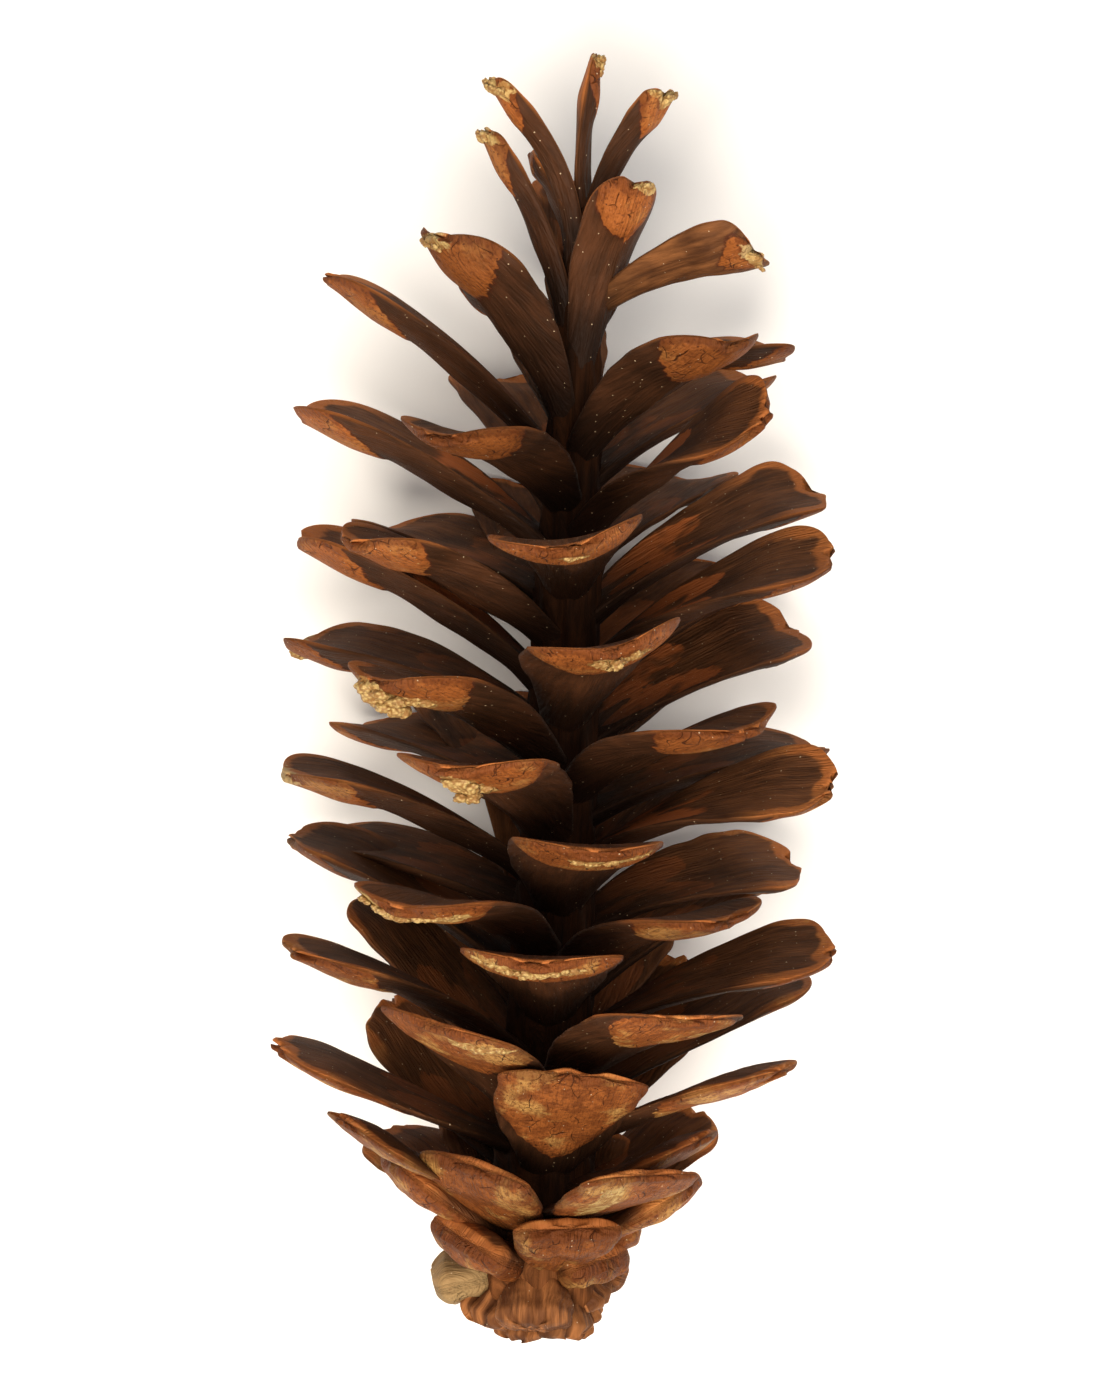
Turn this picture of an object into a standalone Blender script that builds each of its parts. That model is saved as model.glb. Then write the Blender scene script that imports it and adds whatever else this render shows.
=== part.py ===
"""Eastern white pine cone, open and dry, lying on its side with its apex towards +Y.

The cone is one woody thing that grew as one piece: an axis that carries ninety-five scales, each
placed by the golden angle, from the knobs round the stalk's scar to the narrow scales at the apex.
Lengths are in millimetres in the cone's own frame (+Y to the apex, +Z to the side that lies uppermost)
and become metres in the finished mesh. Azimuth is measured round the axis from +Z towards +X.
"""
import bmesh
import bpy
import numpy as np
from mathutils import Matrix, Vector

MM = 0.001
NODE = "cone"

# Placing of the scales
COUNT = 95
DIVERGENCE = 137.508
FACING_SCALE = 52
FACING_AZIMUTH = 12.0
FIRST_HEIGHT = 1.0

# Curves along the cone: pairs of a scale's number and its value there, in millimetres or degrees
SPACING = [(0, 0.30), (14, 0.34), (30, 0.82), (42, 1.47), (62, 1.47), (68, 1.74), (97, 1.78)]
LENGTH = [(0, 3.8), (12, 9.5), (20, 15), (28, 23), (33, 28), (38, 30), (72, 29.5), (80, 26.5), (85, 22.5),
          (90, 18), (97, 15)]
WIDTH = [(0, 4.4), (8, 6.2), (12, 8.5), (20, 12), (28, 14.2), (34, 15.5), (74, 15), (82, 12), (89, 8), (97, 5)]
LIFT = [(0, -35), (9, -5), (14, 18), (20, 28), (31, 31), (36, 24), (60, 22), (74, 25), (82, 30), (86, 42),
        (91, 58), (97, 66)]
AXIS_RADIUS = [(0, 5.5), (20, 4.8), (45, 4.0), (75, 3.2), (88, 2.2), (98, 1.2)]

# Scales that lean their own way, read off the real cone by eye: number: (turn, lift, length factor)
# (43 is on the lower side, and leans so that it carries the cone together with 40, 56 and 61)
LEANING = {
    8: (0, 0, 0.7), 12: (0, -16, 1), 13: (0, 0, 0.7), 15: (-5, -6, 1), 16: (0, 0, 0.7), 18: (-5, -9, 1),
    20: (0, -7, 1.15), 21: (0, -12, 1), 23: (-10, -6, 1), 24: (0, -12, 1), 25: (-30, -30, 1),
    26: (-9, -17, 1), 28: (-15, -18, 1), 29: (-30, -16, 0.75), 30: (0, -8, 1), 31: (2, -4, 0.96),
    33: (0, -16, 1), 34: (0, -12, 1), 36: (3, 0, 1), 37: (5, -5, 1), 38: (-20, 5, 1), 39: (3, -1, 1),
    41: (-5, 0, 1), 43: (-10, -1, 1.02), 44: (5, 0, 1), 46: (-10, 5, 1), 47: (-10, 0, 1), 48: (0, 15, 1),
    49: (10, -5, 1), 50: (20, -10, 0.9), 51: (5, -15, 1), 52: (-5, 0, 1), 55: (5, 0, 1), 58: (0, -10, 1),
    59: (-30, -15, 1), 60: (5, 0, 1), 61: (-15, -5, 1), 62: (15, 0, 1), 63: (40, 0, 1),
    64: (25, -10, 1), 65: (10, 0, 1), 67: (-5, 5, 1), 68: (20, 4, 1), 69: (0, 5, 1),
    70: (-30, 0, 0.85), 71: (10, 2, 1), 72: (-15, -15, 0.9), 73: (-20, -10, 1), 74: (-5, -10, 0.95),
    75: (-30, 0, 1.05), 76: (-25, 5, 1), 77: (-10, 0, 0.95), 78: (-15, -10, 1), 79: (5, -5, 0.95),
    80: (10, 8, 1.15), 82: (15, 0, 0.9), 83: (-15, 15, 1), 84: (25, -25, 1), 85: (0, -5, 0.7),
    86: (20, 20, 1), 87: (25, 0, 0.55), 88: (5, 15, 1.12), 89: (-5, -32, 1.12), 90: (0, 0, 0.75),
    91: (-33, 2, 1.3), 92: (-20, 30, 1.2), 93: (0, 0, 0.6), 94: (30, -5, 1),
}

# Number of a scale that is wider or narrower than its neighbours: factor
BREADTH = {42: 0.85, 50: 0.85, 55: 0.85, 68: 0.8, 71: 0.75, 76: 0.9, 80: 0.85, 83: 1.3, 86: 0.75, 88: 0.55,
           89: 1.1, 91: 0.5, 92: 0.45, 94: 0.85}
# Number of a scale that is twisted along its length: degrees at the tip, its right side towards the base
TWIST = {15: 12, 23: 6, 31: 3, 36: 8, 39: 5, 42: -20, 47: -5, 50: -20, 55: -30, 57: -4, 60: -8, 63: -20,
         65: -14, 68: -30, 71: -20, 73: -13, 76: -45, 89: 35}
# Number of a scale that is bent more than its neighbours: factor
BOW = {91: 2.2}

# Bend of a scale's root and of its tip in degrees, and how far its edges curl towards its upper face, all by
# its number: the lowest scales curve upwards like cups, the others leave the axis steeply and bend outwards
ROOT_BEND = [(0, 0), (10, 0), (15, -20), (28, -20), (34, 8), (40, 24), (46, 27), (97, 24)]
TIP_BEND = [(0, 0), (10, 5), (15, 20), (28, 20), (34, 8), (40, -6), (46, -10), (97, -8)]
CURL = [(0, 0.1), (14, 0), (28, -0.04), (36, 0.08), (44, 0.17), (57, 0.22), (66, 0.3), (95, 0.3)]
BEND_POWER = 1.6
ROOT_DEPTH = 0.5
WIDEST_AT = 0.72
CLAW_WIDTH = 0.32
WIDENING_POWER = 1.3
END_AT = 1.01
END_POWER = 2.6
END_BLUNTNESS = 1.9

# Thickness along a scale: share of its length, millimetres on a full-size scale
THICKNESS = [(0, 2.6), (0.25, 1.9), (0.6, 1.7), (0.82, 2.3), (0.94, 2.0), (1, 1.6)]
FULL_WIDTH = 15.0
THIN_SCALE = 0.8
# More thickness on the lowest scales, by number
STOUT = [(0, 1.2), (10, 1.2), (24, 0)]

# Coarse mesh of the scales
FULL_STATIONS = (0.0, 0.22, 0.46, 0.7, 0.88, 0.985)
SHORT_STATIONS = (0.0, 0.35, 0.72, 0.97)
SHORT_UNTIL = 19
RING = 8
SHORT_RING = 6
LINE_POINTS = 40

# The axis: pairs of height and radius
AXIS_PROFILE = [(-1.2, 3.4), (0.2, 5.4), (3, 6.5), (8, 6.2), (16, 5.2), (40, 4.1), (80, 3.2), (105, 2.2),
                (116, 1.3)]
AXIS_SIDES = 10

# Lying down
AXIS_TILT = -0.2
AXIS_ROLL = -0.9
CENTRE_X = -0.05
CENTRE_Y = 63.85
AXIS_HEIGHT = 27.65
GROUND_BLOCK = (200.0, 300.0, 40.0)

# The exact solver leaves edges where four faces meet between scales that barely touch
SOLVER = "MANIFOLD"

WOOD = (0.29, 0.13, 0.06, 1.0)


def curve(knots, at):
    """Value of a curve given by its knots, straight between them."""
    places, values = zip(*knots)
    return np.interp(at, places, values)


def height_of(number):
    """Height of a scale's root up the axis."""
    return FIRST_HEIGHT + sum(curve(SPACING, step + 0.5) for step in range(number))


def azimuth_of(number):
    """Direction of a scale round the axis, in degrees."""
    turn = LEANING.get(number, (0, 0, 1))[0]
    return FACING_AZIMUTH + DIVERGENCE * (number - FACING_SCALE) + turn


def middle_line(number, share):
    """Points, sideways and upward directions along the middle of a scale, at shares of its length."""
    _, lean, stretch = LEANING.get(number, (0, 0, 1))
    azimuth = np.radians(azimuth_of(number))
    fine = np.linspace(0, 1, LINE_POINTS)
    bow = BOW.get(number, 1)
    bend = bow * (curve(TIP_BEND, number) + curve(ROOT_BEND, number) * (1 - fine) ** BEND_POWER)
    rise = np.radians(curve(LIFT, number) + lean + bend)
    outward = np.array([np.sin(azimuth), 0.0, np.cos(azimuth)])
    along = np.array([0.0, 1.0, 0.0])
    heading = np.cos(rise)[:, None] * outward + np.sin(rise)[:, None] * along
    steps = np.vstack([heading[:1] * 0, (heading[1:] + heading[:-1]) / 2])
    length = curve(LENGTH, number) * stretch
    root = outward * curve(AXIS_RADIUS, number) * ROOT_DEPTH + along * height_of(number)
    path = root + np.cumsum(steps, axis=0) * length / (LINE_POINTS - 1)
    points = np.stack([np.interp(share, fine, path[:, k]) for k in range(3)], axis=-1)
    angle = np.interp(share, fine, rise)
    upward = np.cos(angle)[..., None] * along - np.sin(angle)[..., None] * outward
    sideways = np.array([np.cos(azimuth), 0.0, -np.sin(azimuth)])
    twist = np.radians(TWIST.get(number, 0)) * np.asarray(share)[..., None]
    turned_sideways = np.cos(twist) * sideways - np.sin(twist) * upward
    turned_upward = np.cos(twist) * upward + np.sin(twist) * sideways
    return points, turned_sideways, turned_upward


def half_width(number, share):
    """Half of a scale's width at shares of its length: a claw that widens, then a blunt round end."""
    widening = np.sin(np.clip(share / WIDEST_AT, 0, 1) * np.pi / 2) ** WIDENING_POWER
    end = np.clip((share - WIDEST_AT) / (END_AT - WIDEST_AT), 0, 1)
    rounding = (1 - end ** END_POWER) ** (1 / END_BLUNTNESS)
    breadth = BREADTH.get(number, 1)
    claw = CLAW_WIDTH / breadth
    return curve(WIDTH, number) / 2 * breadth * (claw + (1 - claw) * widening) * rounding


def thickness(number, share):
    """Thickness in the middle of a scale, less on the small ones."""
    size = curve(WIDTH, number) / FULL_WIDTH
    return curve(THICKNESS, share) * (THIN_SCALE + (1 - THIN_SCALE) * size) + curve(STOUT, number)


def scale_rings(number):
    """Rings of points round a scale, from its root in the axis to its tip."""
    short = number < SHORT_UNTIL
    share = np.array(SHORT_STATIONS if short else FULL_STATIONS)
    count = SHORT_RING if short else RING
    angle = (np.arange(count) + 0.5) * 2 * np.pi / count
    across = np.cos(angle) / np.cos(angle[0])
    middle, sideways, upward = middle_line(number, share)
    half = half_width(number, share)[:, None, None]
    thick = thickness(number, share)[:, None, None]
    lift = curve(CURL, number) * across[:, None] ** 2 * half + np.sin(angle)[:, None] * thick / 2
    return middle[:, None] + sideways[:, None] * across[:, None] * half + upward[:, None] * lift


def axis_rings():
    """Rings of points round the axis, from the stalk's scar to the apex."""
    angle = np.arange(AXIS_SIDES) * 2 * np.pi / AXIS_SIDES
    height, radius = np.array(AXIS_PROFILE).T
    round_points = np.stack([np.sin(angle), 0 * angle, np.cos(angle)], axis=-1)
    return radius[:, None, None] * round_points + height[:, None, None] * np.array([0.0, 1.0, 0.0])


def tube(name, rings):
    """Closed mesh object through rings of points, with a flat cap at each end."""
    mesh = bmesh.new()
    rows = [[mesh.verts.new(Vector(point) * MM) for point in ring] for ring in rings]
    count = len(rows[0])
    for low, high in zip(rows, rows[1:]):
        for k in range(count):
            after = (k + 1) % count
            mesh.faces.new((low[k], low[after], high[after], high[k]))
    mesh.faces.new(rows[0])
    mesh.faces.new(rows[-1])
    bmesh.ops.recalc_face_normals(mesh, faces=mesh.faces)
    data = bpy.data.meshes.new(name)
    mesh.to_mesh(data)
    mesh.free()
    return bpy.data.objects.new(name, data)


def lying():
    """Matrix that lays the cone down beside the origin."""
    turn = Matrix.Rotation(np.radians(AXIS_TILT), 4, "X") @ Matrix.Rotation(np.radians(AXIS_ROLL), 4, "Y")
    move = Matrix.Translation(Vector((-CENTRE_X, -CENTRE_Y, AXIS_HEIGHT)) * MM)
    return move @ turn


def apply_boolean(target, operation, collection=None, cutter=None):
    """Run one Boolean on the target and keep its result as the target's mesh."""
    change = target.modifiers.new("fuse", "BOOLEAN")
    change.operation = operation
    change.solver = SOLVER
    if collection:
        change.operand_type = "COLLECTION"
        change.collection = collection
    else:
        change.object = cutter
    graph = bpy.context.evaluated_depsgraph_get()
    data = bpy.data.meshes.new_from_object(target.evaluated_get(graph))
    target.modifiers.clear()
    target.data = data


def shell_volume(faces):
    """Signed volume inside a set of flat faces, each read as a fan of triangles."""
    total = 0.0
    for face in faces:
        first, *others = [corner.co for corner in face.verts]
        total += sum(first.dot(second.cross(third)) for second, third in zip(others, others[1:])) / 6
    return total


def keep_outer_shell(target):
    """Fill the hollows that fusing sealed and drop loose scraps, so that one closed body is left."""
    mesh = bmesh.new()
    mesh.from_mesh(target.data)
    shells = []
    waiting = set(mesh.faces)
    while waiting:
        shell = {waiting.pop()}
        frontier = list(shell)
        while frontier:
            found = {near for edge in frontier.pop().edges for near in edge.link_faces} & waiting
            waiting -= found
            shell |= found
            frontier.extend(found)
        shells.append(shell)
    largest = max(shells, key=shell_volume)
    scrap = [face for shell in shells if shell is not largest for face in shell]
    bmesh.ops.delete(mesh, geom=scrap, context="FACES")
    mesh.to_mesh(target.data)
    mesh.free()


def rest_cutter():
    """Block below the surface that the cone lies on: it flattens the tips that the cone rests on."""
    mesh = bmesh.new()
    bmesh.ops.create_cube(mesh, size=1.0)
    size = Vector(GROUND_BLOCK) * MM
    bmesh.ops.scale(mesh, vec=size, verts=mesh.verts)
    bmesh.ops.translate(mesh, vec=Vector((0, 0, -size.z / 2)), verts=mesh.verts)
    data = bpy.data.meshes.new("rest_cutter")
    mesh.to_mesh(data)
    mesh.free()
    return bpy.data.objects.new("rest_cutter", data)


def wood_material():
    """Dry brown cone wood."""
    wood = bpy.data.materials.new("cone_wood")
    wood.use_nodes = True
    shader = wood.node_tree.nodes["Principled BSDF"]
    shader.inputs["Base Color"].default_value = WOOD
    shader.inputs["Roughness"].default_value = 0.7
    shader.inputs["Metallic"].default_value = 0.0
    return wood


def build_cone():
    """Fuse the axis and its scales, lay the cone down and flatten what it rests on."""
    scene = bpy.context.scene.collection
    cone = tube(NODE, axis_rings())
    scene.objects.link(cone)
    scales = bpy.data.collections.new("scales")
    scene.children.link(scales)
    for number in range(COUNT):
        scales.objects.link(tube(f"scale_{number:02d}", scale_rings(number)))
    apply_boolean(cone, "UNION", collection=scales)
    for scale in list(scales.objects):
        bpy.data.objects.remove(scale)
    bpy.data.collections.remove(scales)
    cone.data.transform(lying())
    cutter = rest_cutter()
    scene.objects.link(cutter)
    apply_boolean(cone, "DIFFERENCE", cutter=cutter)
    bpy.data.objects.remove(cutter)
    keep_outer_shell(cone)
    cone.data.materials.clear()
    cone.data.materials.append(wood_material())
    return cone


for old in list(bpy.data.objects):
    bpy.data.objects.remove(old)
build_cone()
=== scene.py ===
import bpy
import numpy as np
from mathutils import Matrix, Vector


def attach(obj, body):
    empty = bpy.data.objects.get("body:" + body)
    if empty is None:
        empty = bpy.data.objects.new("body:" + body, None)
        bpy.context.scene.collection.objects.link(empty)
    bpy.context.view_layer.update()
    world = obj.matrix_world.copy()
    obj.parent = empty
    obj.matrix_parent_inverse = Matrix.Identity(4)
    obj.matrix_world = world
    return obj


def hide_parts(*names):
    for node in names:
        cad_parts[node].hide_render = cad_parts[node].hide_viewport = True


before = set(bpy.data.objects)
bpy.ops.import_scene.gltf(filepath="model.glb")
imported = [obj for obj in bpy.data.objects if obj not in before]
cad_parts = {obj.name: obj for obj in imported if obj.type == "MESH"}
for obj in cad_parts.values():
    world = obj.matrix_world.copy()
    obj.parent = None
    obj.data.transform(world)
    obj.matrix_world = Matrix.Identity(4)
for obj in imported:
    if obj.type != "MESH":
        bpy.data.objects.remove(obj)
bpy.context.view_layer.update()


# The axis: the woody core that every scale grows from, tapering from the stalk's broken stub to the apex.
# It is ribbed where the scales' feet run down it, and dark brown all over, its colour darkened further
# as painted shade deep among the scales. Lengths are in millimetres in the cone's own frame (+Y to the
# apex, +Z to the side that lies uppermost), and lay_down turns them into metres.

# How the cone lies: its tilt and roll in degrees, and the place of its axis's start
AXIS_TILT = -0.2
AXIS_ROLL = -0.9
CENTRE = (0.05, -63.85, 27.65)
# Height up the cone and radius there
AXIS_PROFILE = [(-1.2, 3.4), (0.2, 5.4), (3, 6.5), (8, 6.2), (16, 5.2), (40, 4.1), (80, 3.2), (105, 2.2),
                (116, 1.3)]
AXIS_RINGS = 260
AXIS_SIDES = 56
AXIS_RIBS = 8
AXIS_RIB_HEIGHT = 0.28
AXIS_RIB_TURN = 0.35
AXIS_ROUGHNESS = 0.18
AXIS_FULL_RADIUS = 5.0
APEX_ROUNDING = 1.2
APEX_FLAT = 0.05
# Heights up to which the core has bark, and from which it has none
BARK_TO = 6.0
BARK_NONE = 14.0
# The core's dark colours are its dark wood darkened further, as painted shade deep among the scales
CORE_DARK_AND_SHADE = (0.008, 0.0035, 0.0018, 1)
CORE_LIGHT = (0.036, 0.012, 0.004, 1)
CORE_BARE = (0.20, 0.070, 0.022, 1)
LYING = np.array(
    Matrix.Rotation(np.radians(AXIS_TILT), 3, "X") @ Matrix.Rotation(np.radians(AXIS_ROLL), 3, "Y"))


def lay_down(points):
    """Turns and moves points in millimetres as the cone lies, and flattens what reaches below the ground."""
    placed = points @ LYING.T + np.array(CENTRE)
    placed[..., 2] = np.maximum(placed[..., 2], 0.0)
    return placed * 0.001


def curve(knots, at):
    """Value of a curve at a place: straight between its knots of place and value."""
    places, values = zip(*knots)
    return np.interp(at, places, values)


def ripple(seed, *ways):
    """Smooth uneven pattern from -1 to 1: the mean of five sine waves in seeded directions over the ways."""
    chance = np.random.default_rng(seed)
    total = 0.0
    for _ in range(5):
        pull = chance.uniform(0.5, 1.6, len(ways)) * chance.choice([-1, 1], len(ways))
        phase = chance.uniform(0, 2 * np.pi)
        total = total + np.sin(sum(p * way for p, way in zip(pull, ways)) + phase)
    return total / 5


def closed_tubes(name, tubes, fields):
    """One mesh of closed tubes: quads between the rings of each grid of points, and a fan on each end."""
    corners, quads, fans = [], [], []
    values = {key: [] for key in fields}
    start = 0
    for k, tube in enumerate(tubes):
        rings, sides = tube.shape[:2]
        ends = tube[[0, -1]].mean(axis=1)
        corners += [tube.reshape(-1, 3), ends]
        index = np.arange(rings * sides).reshape(rings, sides) + start
        after = np.roll(index, -1, axis=1)
        quads.append(np.stack([index[:-1], after[:-1], after[1:], index[1:]], axis=-1).reshape(-1, 4))
        foot = np.full(sides, start + rings * sides)
        fans.append(np.stack([after[0], index[0], foot], axis=-1))
        fans.append(np.stack([index[-1], after[-1], foot + 1], axis=-1))
        for key, field in fields.items():
            whole = np.broadcast_to(field[k], (rings, sides) + np.shape(field[k])[2:])
            flat = whole.reshape(rings * sides, -1)
            tips = np.stack([whole[0].mean(axis=0), whole[-1].mean(axis=0)]).reshape(2, -1)
            values[key].append(np.vstack([flat, tips]))
        start += rings * sides + 2
    mesh = bpy.data.meshes.new(name)
    points, four, three = lay_down(np.vstack(corners)), np.vstack(quads), np.vstack(fans)
    mesh.vertices.add(len(points))
    mesh.vertices.foreach_set("co", points.ravel())
    mesh.loops.add(four.size + three.size)
    mesh.loops.foreach_set("vertex_index", np.concatenate([four.ravel(), three.ravel()]))
    mesh.polygons.add(len(four) + len(three))
    first = np.concatenate([np.arange(len(four)) * 4, four.size + np.arange(len(three)) * 3])
    mesh.polygons.foreach_set("loop_start", first)
    for key, parts in values.items():
        data = np.vstack(parts)
        kind = "FLOAT_VECTOR" if data.shape[1] == 3 else "FLOAT"
        layer = mesh.attributes.new(key, kind, "POINT")
        layer.data.foreach_set("vector" if data.shape[1] == 3 else "value", data.ravel())
    mesh.update()
    mesh.validate()
    mesh.shade_smooth()
    piece = bpy.data.objects.new(name, mesh)
    bpy.context.scene.collection.objects.link(piece)
    return piece


def node(tree, kind, inputs=None, **settings):
    """Adds a shader node, with its settings, and its inputs as plain values or as links from sockets."""
    made = tree.nodes.new(kind)
    for key, value in settings.items():
        setattr(made, key, value)
    for key, value in (inputs or {}).items():
        if isinstance(value, bpy.types.NodeSocket):
            tree.links.new(value, made.inputs[key])
        else:
            made.inputs[key].default_value = value
    return made


def math(tree, operation, a, b=0.0, clamp=False):
    """One Math node."""
    return node(tree, "ShaderNodeMath", {0: a, 1: b}, operation=operation, use_clamp=clamp).outputs[0]


def blend_colour(tree, share, a, b):
    """Colour a where the share is 0, colour b where it is 1, and a blend between."""
    return node(tree, "ShaderNodeMix", {0: share, 6: a, 7: b}, data_type="RGBA").outputs[2]


def ramp(tree, value, low, high):
    """0 below low, 1 above high, smooth between."""
    return node(tree, "ShaderNodeMapRange", {"Value": value, "From Min": low, "From Max": high},
                interpolation_type="SMOOTHSTEP").outputs["Result"]


def noise(tree, place, scale, detail=3.0, rough=0.55):
    """Noise value at a place."""
    return node(tree, "ShaderNodeTexNoise", {"Vector": place, "Scale": scale, "Detail": detail,
                                             "Roughness": rough}).outputs["Fac"]


def stretched(tree, place, x, y, z):
    """A place with its three ways scaled."""
    return node(tree, "ShaderNodeMapping", {"Vector": place, "Scale": (x, y, z)}).outputs["Vector"]


def attribute(tree, name, output="Fac"):
    """A value that the mesh carries."""
    return node(tree, "ShaderNodeAttribute", attribute_name=name).outputs[output]


def new_group(name, inputs, outputs):
    """An empty shader node group with named sockets, and its input and output nodes."""
    group = bpy.data.node_groups.new(name, "ShaderNodeTree")
    for key, kind, value in inputs:
        socket = group.interface.new_socket(key, in_out="INPUT", socket_type=f"NodeSocket{kind}")
        if value is not None:
            socket.default_value = value
    for key, kind in outputs:
        group.interface.new_socket(key, in_out="OUTPUT", socket_type=f"NodeSocket{kind}")
    return group, group.nodes.new("NodeGroupInput"), group.nodes.new("NodeGroupOutput")


def streaked_wood_group():
    """Dry wood: streaks along the strands between a dark and a light colour, with fine raised fibres."""
    group, inside, out = new_group("streaked wood", [
        ("Strand", "Vector", None), ("Dark", "Color", (0, 0, 0, 1)), ("Light", "Color", (1, 1, 1, 1))],
        [("Colour", "Color"), ("Height", "Float")])
    strand = inside.outputs["Strand"]
    streaks = noise(group, stretched(group, strand, 1.6, 0.16, 1), 1.0, 3.0)
    clouds = noise(group, stretched(group, strand, 0.22, 0.14, 1), 1.0, 3.0)
    share = math(group, "ADD", math(group, "MULTIPLY", streaks, 0.55), math(group, "MULTIPLY", clouds, 0.6))
    share = ramp(group, share, 0.38, 0.82)
    group.links.new(blend_colour(group, share, inside.outputs["Dark"], inside.outputs["Light"]),
                    out.inputs["Colour"])
    group.links.new(noise(group, stretched(group, strand, 3.6, 0.35, 1), 1.0, 3.0), out.inputs["Height"])
    return group


STREAKED_WOOD = streaked_wood_group()


def put_group(tree, group, inputs):
    """Places a node group with its values."""
    return node(tree, "ShaderNodeGroup", inputs, node_tree=group)


def new_material(name):
    """A material with only its Principled shader and output."""
    made = bpy.data.materials.new(name)
    made.use_nodes = True
    return made, made.node_tree, made.node_tree.nodes["Principled BSDF"]


def core_material():
    """Dark dry wood of the core, darker still as painted shade, and paler brown bark round the stalk's stub.
    """
    made, tree, shader = new_material("core_wood")
    strand = attribute(tree, "strand", "Vector")
    wood = put_group(tree, STREAKED_WOOD, {"Strand": strand, "Dark": CORE_DARK_AND_SHADE, "Light": CORE_LIGHT})
    bark = put_group(tree, STREAKED_WOOD, {"Strand": strand, "Dark": CORE_LIGHT, "Light": CORE_BARE})
    height = node(tree, "ShaderNodeSeparateXYZ", {"Vector": strand}).outputs["Y"]
    bare = ramp(tree, height, BARK_NONE, BARK_TO)
    colour = blend_colour(tree, bare, wood.outputs["Colour"], bark.outputs["Colour"])
    tree.links.new(colour, shader.inputs["Base Color"])
    shader.inputs["Roughness"].default_value = 0.8
    shader.inputs["Specular IOR Level"].default_value = 0.05
    bump = node(tree, "ShaderNodeBump", {"Strength": 0.6, "Distance": 0.0003,
                                         "Height": wood.outputs["Height"]})
    tree.links.new(bump.outputs["Normal"], shader.inputs["Normal"])
    return made


def make_axis():
    """The core's surface over height and angle.

    Its radius is the profile's, plus ribs, a sine of the angle that winds slowly with the height, plus
    ripples. Ribs and ripples shrink with the radius, and the apex closes as a circle's arc.
    """
    height = np.linspace(AXIS_PROFILE[0][0], AXIS_PROFILE[-1][0], AXIS_RINGS)[:, None]
    angle = (np.arange(AXIS_SIDES) * 2 * np.pi / AXIS_SIDES)[None, :]
    radius = curve(AXIS_PROFILE, height)
    ribs = AXIS_RIB_HEIGHT * np.sin(AXIS_RIBS * angle + height * AXIS_RIB_TURN)
    rough = AXIS_ROUGHNESS * ripple(4, angle * 5, height * 1.7)
    closing = np.sqrt(np.clip((height[-1] + APEX_FLAT - height) / APEX_ROUNDING, 0, 1))
    radius = radius * closing + (ribs + rough) * radius / AXIS_FULL_RADIUS
    tube = np.stack([radius * np.sin(angle), height + 0 * angle, radius * np.cos(angle)], axis=-1)
    strand = np.stack([radius * angle, height + 0 * angle, 0 * radius * angle], axis=-1)
    piece = closed_tubes("axis_core", [tube], {"strand": [strand]})
    piece.data.materials.append(core_material())
    return piece


axis = make_axis()
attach(axis, "root")
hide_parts("cone")


# The scales: ninety-five thin woody spoons in spirals round the axis, small and closed at the base. Each
# grows out of the axis as a narrow claw, bends outwards, widens to three quarters of its length and ends in
# a thicker terracotta tip. The grey-brown inside has two orange prints where the seeds' wings lay, made
# stronger on some scales to paint pools of warm light there as well.

# Lengths are in millimetres, and a place across a scale runs from -1 on one side to 1 on the other
COUNT = 95
DIVERGENCE = 137.508
FACING_SCALE = 52
FACING_AZIMUTH = 12.0
FIRST_HEIGHT = 1.0
# Curves over a scale's number: the way up the axis to the next root, its length and width in millimetres,
# its lift from the outward direction in degrees, and the axis's radius at its root
SPACING = [(0, 0.30), (14, 0.34), (30, 0.82), (42, 1.47), (62, 1.47), (68, 1.74), (97, 1.78)]
LENGTH = [(0, 3.8), (12, 9.5), (20, 15), (28, 23), (33, 28), (38, 30), (72, 29.5), (80, 26.5), (85, 22.5),
          (90, 18), (97, 15)]
WIDTH = [(0, 4.4), (8, 6.2), (12, 8.5), (20, 12), (28, 14.2), (34, 15.5), (74, 15), (82, 12), (89, 8),
         (97, 5)]
LIFT = [(0, -35), (9, -5), (14, 18), (20, 28), (31, 31), (36, 24), (60, 22), (74, 25), (82, 30), (86, 42),
        (91, 58), (97, 66)]
AXIS_RADIUS = [(0, 5.5), (20, 4.8), (45, 4.0), (75, 3.2), (88, 2.2), (98, 1.2)]
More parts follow.
